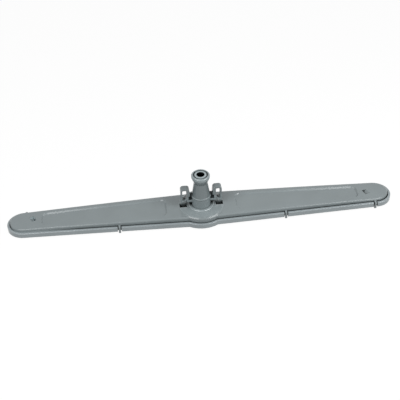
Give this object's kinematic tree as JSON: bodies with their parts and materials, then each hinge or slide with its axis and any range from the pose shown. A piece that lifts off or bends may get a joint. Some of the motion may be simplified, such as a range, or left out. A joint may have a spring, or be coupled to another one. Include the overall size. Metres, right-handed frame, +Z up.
{
  "type": "dishwasher spray arm",
  "caption": "Long crowned spray arm of a dishwasher, a snapped-together shell with jets that spins on a tall hollow inlet hub with latch clips.",
  "frame": {"origin": "on the inlet axis, in the plane of the flat spray face that the arm lies on", "axes": "+X along the arm, +Z up along the inlet stem, +Y across the arm"},
  "size_m": [0.47, 0.0638, 0.0604],
  "materials": {
    "cover": "moulded grey polypropylene, fine texture",
    "tray": "moulded grey polypropylene, fine texture",
    "hub": "moulded grey polypropylene, smooth",
    "ring": "moulded grey polypropylene, smooth"
  },
  "bodies": {
    "arm": {"upper_shell": "cover", "lower_shell": "tray"},
    "hub": {"inlet_hub": "hub", "hub_ring": "ring"}
  },
  "joints": [
    {"name": "hub_spin", "type": "hinge", "parent": "arm", "child": "hub", "pos_m": [0, 0, 0.01], "axis": [0, 0, 1], "continuous": true}
  ]
}
